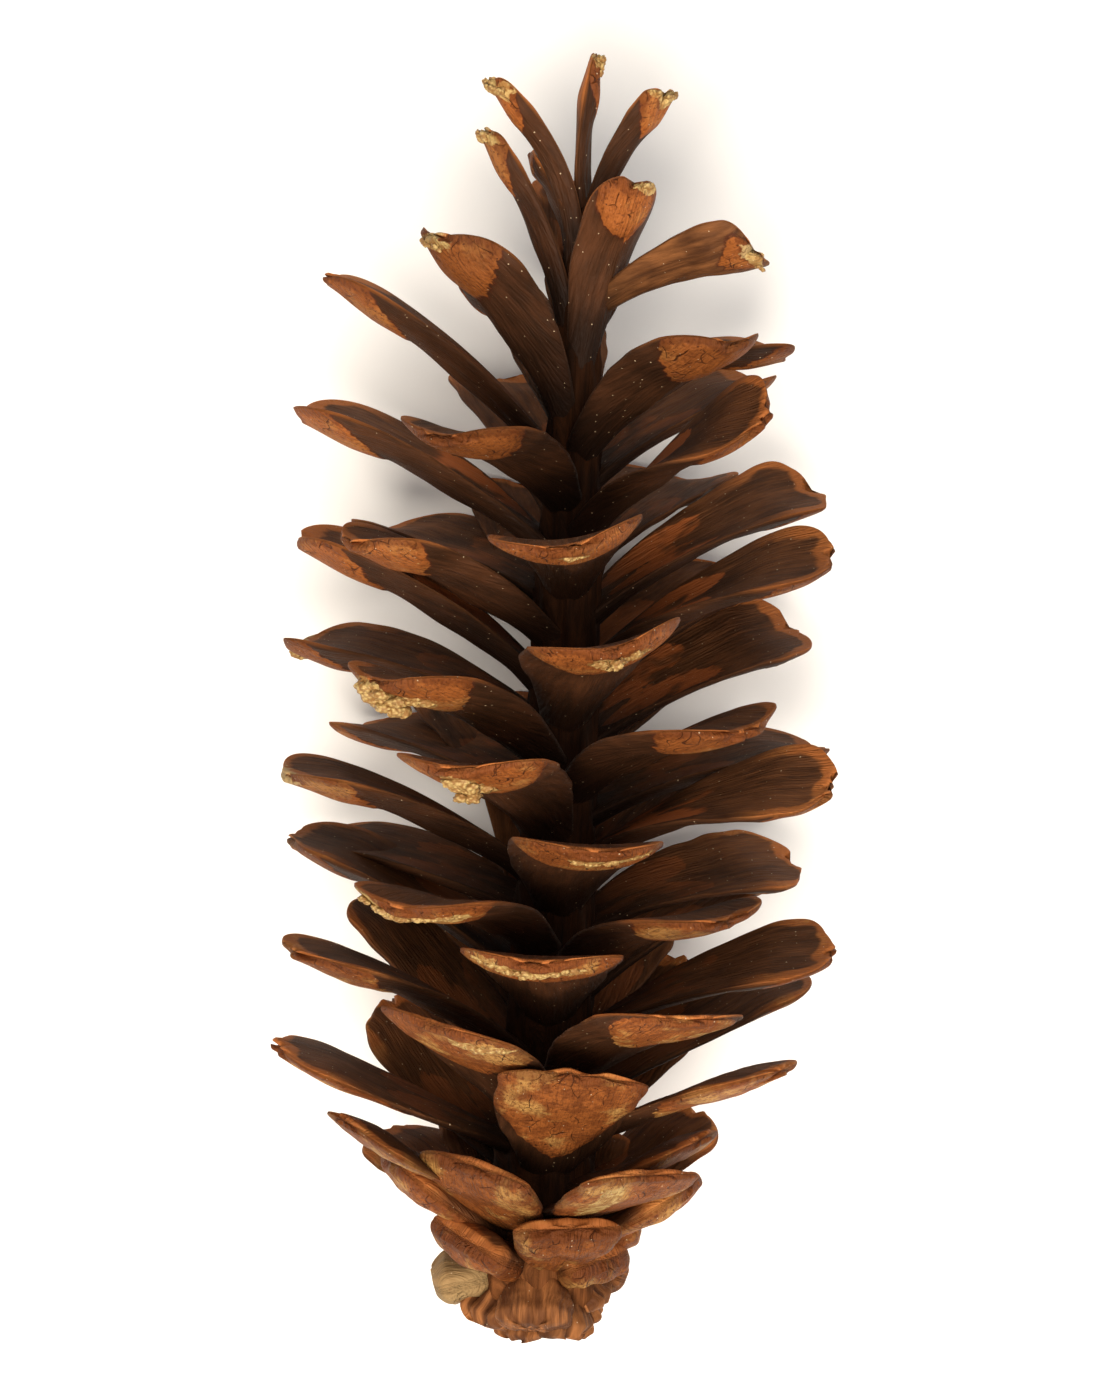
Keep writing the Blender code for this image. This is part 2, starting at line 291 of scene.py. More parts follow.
# Number of a scale that leans its own way: (turn, lift, length factor)
LEANING = {
    8: (0, 0, 0.7), 12: (0, -16, 1), 13: (0, 0, 0.7), 15: (-5, -6, 1), 16: (0, 0, 0.7), 18: (-5, -9, 1),
    20: (0, -7, 1.15), 21: (0, -12, 1), 23: (-10, -6, 1), 24: (0, -12, 1), 25: (-30, -30, 1),
    26: (-9, -17, 1), 28: (-15, -18, 1), 29: (-30, -16, 0.75), 30: (0, -8, 1), 31: (2, -4, 0.96),
    33: (0, -16, 1), 34: (0, -12, 1), 36: (3, 0, 1), 37: (5, -5, 1), 38: (-20, 5, 1), 39: (3, -1, 1),
    41: (-5, 0, 1), 43: (-10, -1, 1.02), 44: (5, 0, 1), 46: (-10, 5, 1), 47: (-10, 0, 1), 48: (0, 15, 1),
    49: (10, -5, 1), 50: (20, -10, 0.9), 51: (5, -15, 1), 52: (-5, 0, 1), 55: (5, 0, 1), 58: (0, -10, 1),
    59: (-30, -15, 1), 60: (5, 0, 1), 61: (-15, -5, 1), 62: (15, 0, 1), 63: (40, 0, 1),
    64: (25, -10, 1), 65: (10, 0, 1), 67: (-5, 5, 1), 68: (20, 4, 1), 69: (0, 5, 1),
    70: (-30, 0, 0.85), 71: (10, 2, 1), 72: (-15, -15, 0.9), 73: (-20, -10, 1), 74: (-5, -10, 0.95),
    75: (-30, 0, 1.05), 76: (-25, 5, 1), 77: (-10, 0, 0.95), 78: (-15, -10, 1), 79: (5, -5, 0.95),
    80: (10, 8, 1.15), 82: (15, 0, 0.9), 83: (-15, 15, 1), 84: (25, -25, 1), 85: (0, -5, 0.7),
    86: (20, 20, 1), 87: (25, 0, 0.55), 88: (5, 15, 1.12), 89: (-5, -32, 1.12), 90: (0, 0, 0.75),
    91: (-33, 2, 1.3), 92: (-20, 30, 1.2), 93: (0, 0, 0.6), 94: (30, -5, 1),
}
# Number of a scale that is wider or narrower than its neighbours: factor
BREADTH = {42: 0.85, 50: 0.85, 55: 0.85, 68: 0.8, 71: 0.75, 76: 0.9, 80: 0.85, 83: 1.3, 86: 0.75, 88: 0.55,
           89: 1.1, 91: 0.5, 92: 0.45, 94: 0.85}
# Number of a scale that is twisted along its length: degrees at the tip, its right side towards the base
TWIST = {15: 12, 23: 6, 31: 3, 36: 8, 39: 5, 42: -20, 47: -5, 50: -20, 55: -30, 57: -4, 60: -8, 63: -20,
         65: -14, 68: -30, 71: -20, 73: -13, 76: -45, 89: 35}
# Number of a scale that is bent more than its neighbours: factor
BOW = {91: 2.2}
# Share of the axis's radius at which a scale's middle line starts
ROOT_DEPTH = 0.5
# Bend of a scale's root and tip by number: the lowest curve upwards like a cup, the others outwards
ROOT_BEND = [(0, 0), (10, 0), (15, -20), (28, -20), (34, 8), (40, 24), (46, 27), (97, 24)]
TIP_BEND = [(0, 0), (10, 5), (15, 20), (28, 20), (34, 8), (40, -6), (46, -10), (97, -8)]
BEND_POWER = 1.6
LINE_STEPS = 80
SCALE_RINGS = 60
SCALE_SIDES = 48
# Rings stand closer together towards the tip by this power
RING_POWER = 1.45
# Share of the length at which a scale is widest, and the same for scales with a blunter tip, by number
WIDEST_AT = 0.78
BLUNT = {15: 0.93, 18: 0.94, 20: 0.85, 23: 0.92, 26: 0.93, 31: 0.93, 36: 0.82, 39: 0.84, 44: 0.82, 57: 0.82,
         64: 0.84, 68: 0.8, 71: 0.92, 73: 0.82, 84: 0.84, 86: 0.8, 88: 0.92, 89: 0.9, 91: 0.92, 92: 0.9,
         94: 0.93}
CLAW_WIDTH = 0.32
WIDENING_POWER = 1.3
END_AT = 1.01
# The end is a superellipse with these two powers, blunter than a half circle
END_POWER = 2.8
END_ROOT = 2.1
# How far a scale's sides curl up, by number, as a share of half its width
CURL = [(0, 0.1), (14, 0), (28, -0.04), (36, 0.08), (44, 0.17), (57, 0.22), (66, 0.3), (95, 0.3)]
FULL_WIDTH = 15.0
# Thickness of a full plate, what its root and its swelling behind the tip add, and what its end
# and its sides lose
PLATE_THICK = 1.5
ROOT_THICKER = 1.1
ROOT_FADE = 0.2
SWELLING = 0.8
SWELLING_AT = 0.8
SWELLING_LENGTH = 0.12
END_THINNER = 0.36
EDGE_THINNER = 0.52
EDGE_POWER = 3.0
SECTION_POWER = 0.45
SMALL_PLATE = 0.8
CLOSING_AT = 0.99
CLOSING_LENGTH = 0.0105
# The scales up to this number are stout, flatter on both faces and dented outside
STOUT_TO = 27
STOUT_THICK = 2.3
STOUT_FLATTER = 4.0
STOUT_SQUARER = 0.2
STOUT_DENTS = 0.34
# The scales below this number are knobs: shorter, thicker, folded lengthwise and bent back at the tip
KNOBS = 13
KNOB_RIDGE = 0.55
KNOB_SHORTER = 0.24
KNOB_FOLDS = 7.5
KNOB_SWELL = 0.12
KNOB_THICK = 1.0
KNOB_REFLEX = 62.0
REFLEX_POWER = 0.6
# Uneven edges, the warp of the whole plate and the torn end, which has a notch in some scales
EDGE_WAVE = 0.065
EDGE_NICKS = 0.05
WARP = 0.22
TORN = 1.2
TORN_POWER = 8
NOTCH = {86: 0.5, 89: 0.5, 94: 1.3}
NOTCH_WIDTH = 0.4
# Heights of the skin's relief: the tip's step, its ripples, the keel and wrinkles below it, the wings' beds
TIP_STEP = 0.16
STEP_WIDTH = 0.5
OUTER_RIPPLE = 0.09
KEEL = 0.6
KEEL_WIDTH = 0.2
KEEL_WANDER = 0.12
WRINKLES = 0.16
WING_DEPTH = 0.1
WING_SLOPE = 0.4
FINE_RIPPLE = 0.05
# Share of the length at which the weathered tip starts, by number, and the scales that have their own
TIP_FROM = [(0, 0.0), (16, 0.1), (24, 0.22), (31, 0.3), (36, 0.55), (42, 0.64), (80, 0.66), (94, 0.7)]
FACE_FROM = {86: 0.70, 89: 0.84, 91: 0.72}
# The tip starts further out at its corners by this share, and by twice as much on the wedged scales
TIP_CORNER = 0.2
WEDGE_CORNER = 0.4
WEDGED = (31, 39)
CORNER_POWER = 1.9
# The wings' beds from the root: where along the length, and how far to each side
WING_FROM = 0.12
WING_TO = 0.6
WING_ASIDE = 0.48
WING_HALF = 0.44
WING_EDGE = 3.0
# Strength of the wings' prints, by number, and in all the others. The strong listed ones also paint
# pools of warm light on those inner faces
PRINTED_AND_LIT = {47: 0.9, 55: 1.1, 60: 1.2, 63: 1.3, 67: 1.2, 68: 1.5, 71: 1.3, 75: 1.2, 76: 1.6}
FAINT_PRINT = 0.32
# Numbers of the scales that have bleached pale, that are tawny, and that have a pale worn tip
BLEACHED = (12,)
TAWNY = (89,)
PALE_TIPS = (54, 64, 83, 88, 89, 91, 92, 94)
WORN_LENGTHS = (0.6, 1.8)
# Weathering of the tips, full low on the cone and faint near the apex
WEATHER_NONE_AT = 78
WEATHER_OVER = 45
LEAST_WEATHER = 0.25
# Patches of dried resin: number of the scale, share of its length and place across at the patch's start and
# at its end, count of beads, their radius, how far they scatter, and how far they hang
RESIN = [
    (62, 0.97, -0.50, 0.84, 0.25, 44, 1.00, 1.1, 2.0), (49, 0.95, -0.85, 0.88, 0.65, 64, 0.60, 0.9, 0.6),
    (57, 0.95, -0.10, 0.80, 0.10, 34, 0.90, 0.9, 1.8), (65, 0.94, -0.25, 0.90, 0.35, 26, 0.60, 0.9, 0.8),
    (52, 0.93, -0.20, 0.92, 0.80, 22, 0.45, 0.6, 0.3), (44, 0.94, -0.80, 0.93, 0.50, 44, 0.50, 0.9, 0.6),
    (26, 0.90, -0.45, 0.55, -0.35, 24, 0.45, 1.2, 0.4), (36, 0.93, 0.30, 0.90, 0.85, 20, 0.55, 0.5, 0.4),
    (73, 0.95, -0.05, 0.90, 0.15, 10, 0.50, 0.5, 0.3), (39, 0.86, 0.45, 0.84, 0.60, 5, 0.55, 0.4, 0.2),
    (64, 1.00, -0.50, 0.97, 0.50, 12, 0.60, 0.4, 0.3), (91, 1.00, -0.60, 0.95, 0.60, 20, 0.45, 0.6, 0),
    (88, 1.00, -0.50, 0.97, 0.50, 14, 0.45, 0.4, 0), (92, 1.00, -0.40, 0.92, 0.40, 14, 0.38, 0.4, 0.2),
    (94, 1.00, -0.80, 0.99, 0.80, 12, 0.34, 0.2, 0), (89, 0.99, 0.20, 0.94, 0.80, 6, 0.26, 0.3, 0),
    (86, 0.99, 0.50, 0.96, 0.90, 8, 0.38, 0.2, 0), (83, 1.00, -0.50, 0.97, 0.40, 12, 0.38, 0.4, 0),
]
CRUST_MARGIN = 0.5
# Colours of the two faces, the weathered tip and its pits, the rim, the knobs, worn tips, prints, which
# are also painted pools of warm light, and resin
INNER_DARK = (0.046, 0.0175, 0.0065, 1)
INNER_LIGHT = (0.155, 0.058, 0.021, 1)
OUTER_DARK = (0.024, 0.0095, 0.0038, 1)
OUTER_LIGHT = (0.066, 0.024, 0.0095, 1)
TERRACOTTA = (0.25, 0.076, 0.017, 1)
TERRACOTTA_DEEP = (0.105, 0.028, 0.007, 1)
TERRACOTTA_PALE = (0.42, 0.225, 0.066, 1)
PIT = (0.05, 0.012, 0.005, 1)
RIM_ORANGE = (0.40, 0.13, 0.034, 1)
KNOB_DARK = (0.060, 0.020, 0.007, 1)
KNOB_LIGHT = (0.36, 0.140, 0.045, 1)
WORN_TIP = (0.42, 0.29, 0.13, 1)
# The prints' orange, which on the strongly printed scales also stands for painted pools of warm light
WING_PRINT_AND_LIGHT = (0.36, 0.100, 0.027, 1)
SPECK = (0.62, 0.47, 0.3, 1)
RESIN_PALE = (0.47, 0.325, 0.125, 1)
RESIN_DEEP = (0.25, 0.125, 0.036, 1)


def fading(number, last, over):
    """1 for low scales, falling evenly to 0 at the last number over so many scales."""
    return np.clip((last - number) / over, 0, 1)


def height_of(number):
    """Height of a scale's root up the axis."""
    return FIRST_HEIGHT + sum(curve(SPACING, step + 0.5) for step in range(number))


def length_of(number):
    """Length of a scale along its middle line, before the knobs' shortening."""
    return curve(LENGTH, number) * LEANING.get(number, (0, 0, 1))[2]


def middle_line(number, share):
    """Points, sideways and upward directions along the middle of a scale, at shares of its length.

    The line's rise above the outward direction is the lift plus the tip's bend, plus the root's bend that
    fades along it. Its points are the sum of small steps in the direction of that rise.
    """
    turn, lean, _ = LEANING.get(number, (0, 0, 1))
    azimuth = np.radians(FACING_AZIMUTH + DIVERGENCE * (number - FACING_SCALE) + turn)
    knob = fading(number, KNOBS, 3)
    fine = np.linspace(0, 1, LINE_STEPS)
    bow = BOW.get(number, 1)
    bend = bow * (curve(TIP_BEND, number) + curve(ROOT_BEND, number) * (1 - fine) ** BEND_POWER)
    reflex = KNOB_REFLEX * knob * fine ** REFLEX_POWER
    rise = np.radians(curve(LIFT, number) + lean + bend - reflex)
    outward = np.array([np.sin(azimuth), 0.0, np.cos(azimuth)])
    along = np.array([0.0, 1.0, 0.0])
    heading = np.cos(rise)[:, None] * outward + np.sin(rise)[:, None] * along
    steps = np.vstack([heading[:1] * 0, (heading[1:] + heading[:-1]) / 2])
    root = outward * curve(AXIS_RADIUS, number) * ROOT_DEPTH + along * height_of(number)
    step_length = length_of(number) * (1 - KNOB_SHORTER * knob) / (LINE_STEPS - 1)
    path = root + np.cumsum(steps, axis=0) * step_length
    points = np.stack([np.interp(share, fine, path[:, k]) for k in range(3)], axis=-1)
    angle = np.interp(share, fine, rise)[..., None]
    upward = np.cos(angle) * along - np.sin(angle) * outward
    sideways = np.array([np.cos(azimuth), 0.0, -np.sin(azimuth)])
    twist = np.radians(TWIST.get(number, 0)) * np.asarray(share)[..., None]
    twisted_side = np.cos(twist) * sideways - np.sin(twist) * upward
    twisted_up = np.cos(twist) * upward + np.sin(twist) * sideways
    return points, twisted_side, twisted_up


def half_width(number, share):
    """Half of a scale's width at shares of its length: a claw that widens, then a blunt round end."""
    widest = BLUNT.get(number, WIDEST_AT)
    widening = np.sin(np.clip(share / widest, 0, 1) * np.pi / 2) ** WIDENING_POWER
    end = np.clip((share - widest) / (END_AT - widest), 0, 1)
    rounding = (1 - end ** END_POWER) ** (1 / END_ROOT)
    breadth = BREADTH.get(number, 1)
    claw = CLAW_WIDTH / breadth
    swell = 1 + KNOB_SWELL * fading(number, KNOBS, 3)
    return curve(WIDTH, number) / 2 * breadth * swell * (claw + (1 - claw) * widening) * rounding


def scale_thickness(number, share, across, size):
    """Thickness of a plate: bell curves add to it at the root and behind the tip, and a power of the place
    across and of the last fifth take from it. Over the very end it closes as a quarter circle."""
    thick = PLATE_THICK + STOUT_THICK * fading(number, STOUT_TO, 12)
    thick = thick + ROOT_THICKER * np.exp(-share / ROOT_FADE)
    thick = thick + SWELLING * np.exp(-((share - SWELLING_AT) / SWELLING_LENGTH) ** 2)
    thick = thick * (SMALL_PLATE + (1 - SMALL_PLATE) * size)
    edge_power = EDGE_POWER + STOUT_FLATTER * fading(number, STOUT_TO, 8)
    last = np.clip((share - SWELLING_AT) / (1 - SWELLING_AT), 0, 1)
    thick = thick * (1 - END_THINNER * last ** 1.5) * (1 - EDGE_THINNER * np.abs(across) ** edge_power)
    thick = thick + KNOB_THICK * fading(number, KNOBS, 3)
    return thick * np.sqrt(1 - np.clip((share - CLOSING_AT) / CLOSING_LENGTH, 0, 1) ** 2)


def tip_start(number, across):
    """Share of the length at which the weathered tip starts, further out at its corners."""
    corner = WEDGE_CORNER if number in WEDGED else TIP_CORNER
    return FACE_FROM.get(number, curve(TIP_FROM, number)) + corner * np.abs(across) ** CORNER_POWER


def wing_place(share, across, size):
    """How far inside a wing's bed, an ellipse on each half of the inner face, with 0 on its edge."""
    along = (share - (WING_FROM + WING_TO) / 2) / (WING_TO - WING_FROM) * 2
    aside = (np.abs(across) - WING_ASIDE) / WING_HALF
    return WING_EDGE * size * (1 - along ** 2 - aside ** 2)


def outer_relief(number, share, across, size, tip_edge):
    """Relief of the outer face: the tip's step, ripples all over it, dents on stout scales, and below the
    tip a keel, a bell curve across, among wrinkles."""
    relief = TIP_STEP * np.clip(tip_edge / STEP_WIDTH, 0, 1) * size
    relief = relief + OUTER_RIPPLE * size * ripple(number + 90, across * 9, share * 22)
    below = np.clip((tip_start(number, across) - share) * 5, 0, 1) * np.clip(share * 4 - 0.6, 0, 1)
    ridge = np.exp(-((across + KEEL_WANDER * np.sin(number)) / KEEL_WIDTH) ** 2)
    relief = relief + KEEL * size * below * ridge
    relief = relief + WRINKLES * size * below * ripple(number + 95, across * 14, share * 5)
    dents = STOUT_DENTS * fading(number, STOUT_TO, 10)
    return relief + dents * ripple(number + 35, across * 7, share * 9)


def crust_share(number, share, across, half, length):
    """Share of resin on the skin: 1 along the line of a patch and 0 beyond the reach of its beads."""
    crust = np.zeros((SCALE_RINGS, SCALE_SIDES))
    for patch in RESIN:
        owner, share_a, across_a, share_b, across_b, _, size, spread, _ = patch
        if owner != number:
            continue
        run, climb = (across_b - across_a) * half, (share_b - share_a) * length
        aside, up = (across - across_a) * half, (share - share_a) * length
        way = np.clip((aside * run + up * climb) / (run ** 2 + climb ** 2 + 0.01), 0, 1)
        gap = np.hypot(aside - way * run, up - way * climb)
        crust = np.maximum(crust, np.clip(1 - gap / (spread + size + CRUST_MARGIN), 0, 1))
    return crust


def torn_end(number, share, across, size):
    """How far the end's edge is torn outwards or inwards, by ripples and a notch that grow towards it."""
    torn = TORN * size * share ** TORN_POWER * ripple(number + 40, across * 5, across * 2.5)
    torn = torn * (0.35 + 0.65 * np.clip((number - 14) / 16, 0, 1))
    return torn - NOTCH.get(number, 0) * share ** 4 * np.exp(-(across / NOTCH_WIDTH) ** 2)


def scale_relief(number, share, across, face, half, tip_edge, wing_edge, fold):
    """Relief of both faces: the outer face's own, the wings' beds sunk into the inner face, fine ripples,
    and a knob's folds, which deepen from its root."""
    size = curve(WIDTH, number) / FULL_WIDTH
    outer = np.where(face < 0, 1.0, 0.0)
    relief = outer * outer_relief(number, share, across, size, tip_edge)
    relief = relief - (1 - outer) * WING_DEPTH * size * np.clip(wing_edge / WING_SLOPE, 0, 1)
    relief = relief + FINE_RIPPLE * ripple(number + 30, across * half * 2.6, share * 4)
    return relief + fading(number, KNOBS, 3) * KNOB_RIDGE * fold * share


def scale_lift(number, share, across, face, half, relief):
    """Lift of both faces over the middle line: the curl, the square of the place across, plus half the
    thickness times the sine of the section's angle raised to a low power, plus the relief and a warp."""
    size = curve(WIDTH, number) / FULL_WIDTH
    plate = np.sign(face) * np.abs(face) ** (SECTION_POWER - STOUT_SQUARER * fading(number, STOUT_TO, 10))
    thick = scale_thickness(number, share, across, size)
    lift = curve(CURL, number) * across ** 2 * half + plate * thick / 2
    lift = lift + np.sign(face) * relief * (1 - across ** 8)
    warp = WARP * size * ripple(number + 60, share * 5, across * 1.3)
    return lift + warp * np.clip(share * 3, 0, 1)


def skin_facts(number, share, across, face, half, tip_edge, wing_edge, fold):
    """What the skin has to know at each point: places, distances in millimetres, and shares from 0 to 1."""
    length = length_of(number)
    chance = np.random.default_rng(number + 7)
    tone = np.full((SCALE_RINGS, SCALE_SIDES), chance.uniform())
    worn = np.clip(1 - (1 - share) * length / chance.uniform(*WORN_LENGTHS), 0, 1) * (1 - across ** 2)
    worn = np.maximum(worn * (number in PALE_TIPS), 1.0 if number in BLEACHED else 0.0)
    weather = np.clip((WEATHER_NONE_AT - number) / WEATHER_OVER, LEAST_WEATHER, 1.0)
    strand = [across * half, share * length + 0 * across, number * 11.0 + np.sign(face) * 3 + 0 * across]
    return {
        "strand": np.stack(strand, axis=-1), "share": share + 0 * across, "inner": face + 0 * across,
        "rim": np.minimum((1 - share) * length, (1 - np.abs(across)) * half), "tip_edge": tip_edge,
        "tip_share": np.where(face < 0, 1.0, 0.0) * np.clip(tip_edge, 0, 1), "wing_edge": wing_edge,
        "crust": crust_share(number, share, across, half, length), "fold": fold, "tone": tone, "worn": worn,
        "knob": np.full_like(tone, fading(number, KNOBS, 3)), "weather": np.full_like(tone, weather),
        "tawny": np.full_like(tone, 1.0 * (number in TAWNY)),
        "print_and_light": np.full_like(tone, PRINTED_AND_LIT.get(number, FAINT_PRINT))}


def scale_surface(number):
    """A scale's closed surface over its length and round its section, and what its skin has to know there.

    A point is the middle line's, plus the cosine of the section's angle times half the width sideways, plus
    the lift upwards. Ripples make the width uneven, and the end is torn along the scale.
    """
    even = np.linspace(0, 1, SCALE_RINGS)
    share = (1 - (1 - even) ** RING_POWER)[:, None]
    angle = ((np.arange(SCALE_SIDES) + 0.5) * 2 * np.pi / SCALE_SIDES)[None, :]
    across = np.cos(angle) + 0 * share
    face = np.sin(angle)
    size = curve(WIDTH, number) / FULL_WIDTH
    half = half_width(number, share)
    tip_edge = (share - tip_start(number, across)) * length_of(number)
    wing_edge = wing_place(share, across, size)
    fold = np.sin(across * KNOB_FOLDS + ripple(number + 20, share * 6) * 1.2 + number)
    relief = scale_relief(number, share, across, face, half, tip_edge, wing_edge, fold)
    lift = scale_lift(number, share, across, face, half, relief)
    wave = 1 + EDGE_WAVE * ripple(number, share * 9, np.sign(across) * 2)
    wave = wave + EDGE_NICKS * ripple(number + 500, share * 30, np.sign(across) * 3) * share
    middle, sideways, upward = middle_line(number, share[:, 0])
    points = middle[:, None] + sideways[:, None] * (across * half * wave)[..., None]
    points = points + upward[:, None] * lift[..., None]
    points = points + np.cross(sideways, upward)[:, None] * torn_end(number, share, across, size)[..., None]
    return points, skin_facts(number, share, across, face, half, tip_edge, wing_edge, fold)


def specks_group():
    """Tiny pale flecks of dust and resin: one dot in some of the cells of a fine cell pattern."""
    group, inside, out = new_group("pale specks", [("Place", "Vector", None), ("Scale", "Float", 900.0),
                                                   ("Amount", "Float", 0.3)], [("Mask", "Float")])
    cells = node(group, "ShaderNodeTexVoronoi", {"Vector": inside.outputs["Place"],
                                                 "Scale": inside.outputs["Scale"]})
    parts = node(group, "ShaderNodeSeparateColor", {"Color": cells.outputs["Color"]})
    chosen = math(group, "LESS_THAN", parts.outputs["Red"], inside.outputs["Amount"])
    size = math(group, "ADD", math(group, "MULTIPLY", parts.outputs["Green"], 0.10), 0.03)
    dot = math(group, "LESS_THAN", cells.outputs["Distance"], size)
    group.links.new(math(group, "MULTIPLY", chosen, dot), out.inputs["Mask"])
    return group


def pits(group, strand, pitted):
    """Small round pits: dots in the cells of a cell pattern, wider where the skin is more pitted."""
    cells = node(group, "ShaderNodeTexVoronoi", {"Vector": strand, "Scale": 2.6})
    parts = node(group, "ShaderNodeSeparateColor", {"Color": cells.outputs["Color"]})
    limit = math(group, "MULTIPLY", parts.outputs["Red"], math(group, "MULTIPLY", pitted, 0.38))
    return math(group, "LESS_THAN", cells.outputs["Distance"], limit)


def cracks(group, place, strand):
    """Thin cracks in some places: the edges of a bent cell pattern."""
    bend = node(group, "ShaderNodeTexNoise", {"Vector": place, "Scale": 420.0, "Detail": 0.0})
    bent = node(group, "ShaderNodeVectorMath", {
        0: stretched(group, strand, 0.42, 0.24, 1), 1: bend.outputs["Color"]}, operation="ADD")
    edges = node(group, "ShaderNodeTexVoronoi", {"Vector": bent.outputs["Vector"], "Scale": 1.0},
                 feature="DISTANCE_TO_EDGE")
    cracked = ramp(group, noise(group, place, 330.0), 0.48, 0.56)
    return math(group, "MULTIPLY", ramp(group, edges.outputs["Distance"], 0.022, 0.0), cracked)


def tip_skin_group():
    """Weathered skin of a tip: terracotta with soft pale and deep patches, fine strands, pits and cracks."""
    group, inside, out = new_group("weathered tip", [
        ("Place", "Vector", None), ("Strand", "Vector", None), ("Pitted", "Float", 0.5),
        ("Weather", "Float", 1.0), ("Middle", "Color", TERRACOTTA), ("Deep", "Color", TERRACOTTA_DEEP),
        ("Pale", "Color", TERRACOTTA_PALE)], [("Colour", "Color"), ("Height", "Float")])
    place, strand, weather = inside.outputs["Place"], inside.outputs["Strand"], inside.outputs["Weather"]
    dark = inside.outputs["Deep"]
    mottle = math(group, "MULTIPLY", ramp(group, noise(group, place, 620.0, 3.0, 0.65), 0.42, 0.60), weather)
    colour = blend_colour(group, math(group, "MULTIPLY", mottle, 0.6), inside.outputs["Middle"], dark)
    pale = ramp(group, noise(group, place, 190.0, 4.0, 0.62), 0.49, 0.63)
    pale = math(group, "MULTIPLY", pale, math(group, "MULTIPLY", weather, 0.85))
    colour = blend_colour(group, pale, colour, inside.outputs["Pale"])
    deep = ramp(group, noise(group, stretched(group, strand, 0.30, 0.20, 1), 1.0, 2.0), 0.52, 0.75)
    colour = blend_colour(group, math(group, "MULTIPLY", deep, 0.55), colour, dark)
    strands = noise(group, stretched(group, strand, 3.4, 0.30, 1), 1.0, 3.0)
    dark_strand = math(group, "MULTIPLY", ramp(group, strands, 0.50, 0.32), 0.45)
    colour = blend_colour(group, dark_strand, colour, dark)
    grain = noise(group, place, 2400.0, 2.0)
    dark_grain = math(group, "MULTIPLY", ramp(group, grain, 0.48, 0.36), 0.6)
    colour = blend_colour(group, dark_grain, colour, dark)
    pit = pits(group, strand, inside.outputs["Pitted"])
    colour = blend_colour(group, math(group, "MULTIPLY", pit, 0.8), colour, PIT)
    crack = cracks(group, place, strand)
    colour = blend_colour(group, math(group, "MULTIPLY", crack, 0.85), colour, PIT)
    group.links.new(colour, out.inputs["Colour"])
    height = math(group, "ADD", strands, math(group, "MULTIPLY", grain, 0.7))
    hollow = math(group, "MULTIPLY", math(group, "MAXIMUM", crack, pit), 1.2)
    group.links.new(math(group, "SUBTRACT", height, hollow), out.inputs["Height"])
    return group


def scale_wood(tree, strand, inner_face, knob):
    """Streaked wood in the colours of the outer face, the inner face, a tawny scale or a knob."""
    tawny = math(tree, "MULTIPLY", attribute(tree, "tawny"), 0.6)
    dark = blend_colour(tree, inner_face, OUTER_DARK, INNER_DARK)
    dark = blend_colour(tree, knob, blend_colour(tree, tawny, dark, OUTER_LIGHT), KNOB_DARK)
    light = blend_colour(tree, inner_face, OUTER_LIGHT, INNER_LIGHT)
    light = blend_colour(tree, knob, blend_colour(tree, tawny, light, KNOB_LIGHT), KNOB_LIGHT)
    return put_group(tree, STREAKED_WOOD, {"Strand": strand, "Dark": dark, "Light": light})


def ragged(tree, name, jag, by, fine_jag, finely):
    """A distance that the mesh carries, with two ragged noises added so that its edge is torn."""
    line = math(tree, "ADD", attribute(tree, name), math(tree, "MULTIPLY", jag, by))
    return math(tree, "ADD", line, math(tree, "MULTIPLY", fine_jag, finely))


def wing_prints_and_light(tree, strand, inner_face, jag, fine_jag):
    """Share of the wings' prints, also painted pools of warm light: within their ragged edge on the inner
    face, in soft clouds.
    """
    edge = ramp(tree, ragged(tree, "wing_edge", jag, 2.2, fine_jag, 1.2), 0.0, 0.3)
    cloud = ramp(tree, noise(tree, stretched(tree, strand, 0.17, 0.09, 1), 1.0, 3.0), 0.40, 0.52)
    strength = math(tree, "MULTIPLY", cloud, attribute(tree, "print_and_light"))
    return math(tree, "MULTIPLY", math(tree, "MULTIPLY", edge, inner_face), strength, clamp=True)


def bright_rim(tree, place, share, inner_face, jag):
    """Share of the bright rim, a wandering line round the end of the inner face."""
    wander = math(tree, "SUBTRACT", noise(tree, place, 150.0, 2.0), 0.5)
    line = math(tree, "ADD", attribute(tree, "rim"), math(tree, "MULTIPLY", wander, 3.6))
    line = math(tree, "ADD", line, math(tree, "MULTIPLY", jag, 1.4))
    at_end = math(tree, "MULTIPLY", inner_face, ramp(tree, share, 0.66, 0.9))
    return math(tree, "MULTIPLY", ramp(tree, line, 1.5, 0.9), at_end)


def weathered_tip(tree, colour, skin, outer_face, jag, fine_jag):
    """Lays the tip's skin over a colour, darker along its rim and with a dark ledge where it starts."""
    tip_line = ragged(tree, "tip_edge", jag, 3.4, fine_jag, 0.35)
    tip = math(tree, "MULTIPLY", ramp(tree, tip_line, 0.0, 0.2), outer_face)
    colour = blend_colour(tree, tip, colour, skin)
    from_rim = math(tree, "ADD", attribute(tree, "rim"), math(tree, "MULTIPLY", fine_jag, 1.4))
    darker_rim_band = math(tree, "MULTIPLY", ramp(tree, from_rim, 1.1, 0.4), math(tree, "MULTIPLY", tip, 0.7))
    colour = blend_colour(tree, darker_rim_band, colour, TERRACOTTA_DEEP)
    from_line = math(tree, "ABSOLUTE", math(tree, "MULTIPLY", tip_line, 3.5))
    ledge = math(tree, "SUBTRACT", 1.0, from_line, clamp=True)
    ledge = math(tree, "MULTIPLY", ledge, math(tree, "MULTIPLY", outer_face, 0.7))
    return blend_colour(tree, ledge, colour, PIT)


